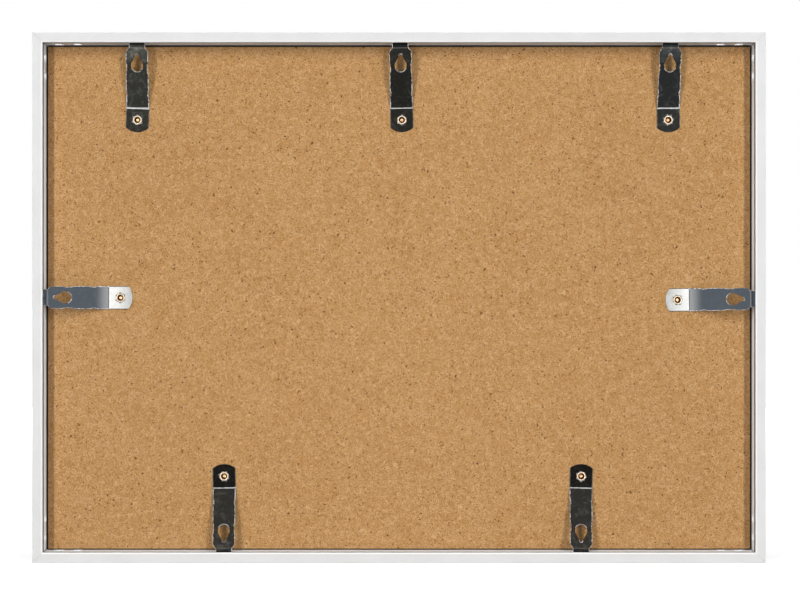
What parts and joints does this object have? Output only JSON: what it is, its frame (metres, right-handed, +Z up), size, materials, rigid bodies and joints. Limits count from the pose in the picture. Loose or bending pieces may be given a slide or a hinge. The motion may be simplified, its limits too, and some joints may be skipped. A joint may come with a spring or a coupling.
{
  "type": "picture frame",
  "caption": "Slim white metal picture frame for a wall, with a hardboard back held in by swivelling spring clips that have teardrop nail holes.",
  "frame": {"origin": "on the wall plane, at the middle of the top rail's back flange", "axes": "+X along the top rail, towards the left as seen from behind; +Y out of the back, into the wall; +Z up. The picture faces -Y."},
  "size_m": [0.4334, 0.02, 0.3135],
  "materials": {
    "white_coat": "satin",
    "key_metal": "cast, matt",
    "clear_glass": "clear",
    "plain_paper": "matt",
    "hardboard": "matt, fibrous",
    "spring_steel": "cold rolled, bright",
    "rivet_brass": "plated, satin"
  },
  "bodies": {
    "frame": {"top_rail": "white_coat", "bottom_rail": "white_coat", "left_rail": "white_coat", "right_rail": "white_coat", "top_left_corner_key": "key_metal", "top_right_corner_key": "key_metal", "bottom_left_corner_key": "key_metal", "bottom_right_corner_key": "key_metal", "glass_pane": "clear_glass", "insert_sheet": "plain_paper", "back_board": "hardboard", "rivet_top_left": "rivet_brass", "rivet_top_middle": "rivet_brass", "rivet_top_right": "rivet_brass", "rivet_left": "rivet_brass", "rivet_right": "rivet_brass", "rivet_bottom_left": "rivet_brass", "rivet_bottom_right": "rivet_brass"},
    "clip_top_left": {"spring_clip_top_left": "spring_steel"},
    "clip_top_middle": {"spring_clip_top_middle": "spring_steel"},
    "clip_top_right": {"spring_clip_top_right": "spring_steel"},
    "clip_left": {"spring_clip_left": "spring_steel"},
    "clip_right": {"spring_clip_right": "spring_steel"},
    "clip_bottom_left": {"spring_clip_bottom_left": "spring_steel"},
    "clip_bottom_right": {"spring_clip_bottom_right": "spring_steel"}
  },
  "joints": [
    {"name": "swivel_top_left", "type": "hinge", "parent": "frame", "child": "clip_top_left", "pos_m": [0.15624, -0.0133, -0.0477], "axis": [0, 1, 0], "continuous": true},
    {"name": "swivel_top_middle", "type": "hinge", "parent": "frame", "child": "clip_top_middle", "pos_m": [-0.00168, -0.0133, -0.0477], "axis": [0, 1, 0], "continuous": true},
    {"name": "swivel_top_right", "type": "hinge", "parent": "frame", "child": "clip_top_right", "pos_m": [-0.16086, -0.0133, -0.0477], "axis": [0, 1, 0], "continuous": true},
    {"name": "swivel_left", "type": "hinge", "parent": "frame", "child": "clip_left", "pos_m": [0.1664, -0.0133, -0.15388], "axis": [0, 1, 0], "continuous": true},
    {"name": "swivel_right", "type": "hinge", "parent": "frame", "child": "clip_right", "pos_m": [-0.1664, -0.0133, -0.15519], "axis": [0, 1, 0], "continuous": true},
    {"name": "swivel_bottom_left", "type": "hinge", "parent": "frame", "child": "clip_bottom_left", "pos_m": [0.10447, -0.0133, -0.2605], "axis": [0, 1, 0], "continuous": true},
    {"name": "swivel_bottom_right", "type": "hinge", "parent": "frame", "child": "clip_bottom_right", "pos_m": [-0.10886, -0.0133, -0.2605], "axis": [0, 1, 0], "continuous": true}
  ]
}
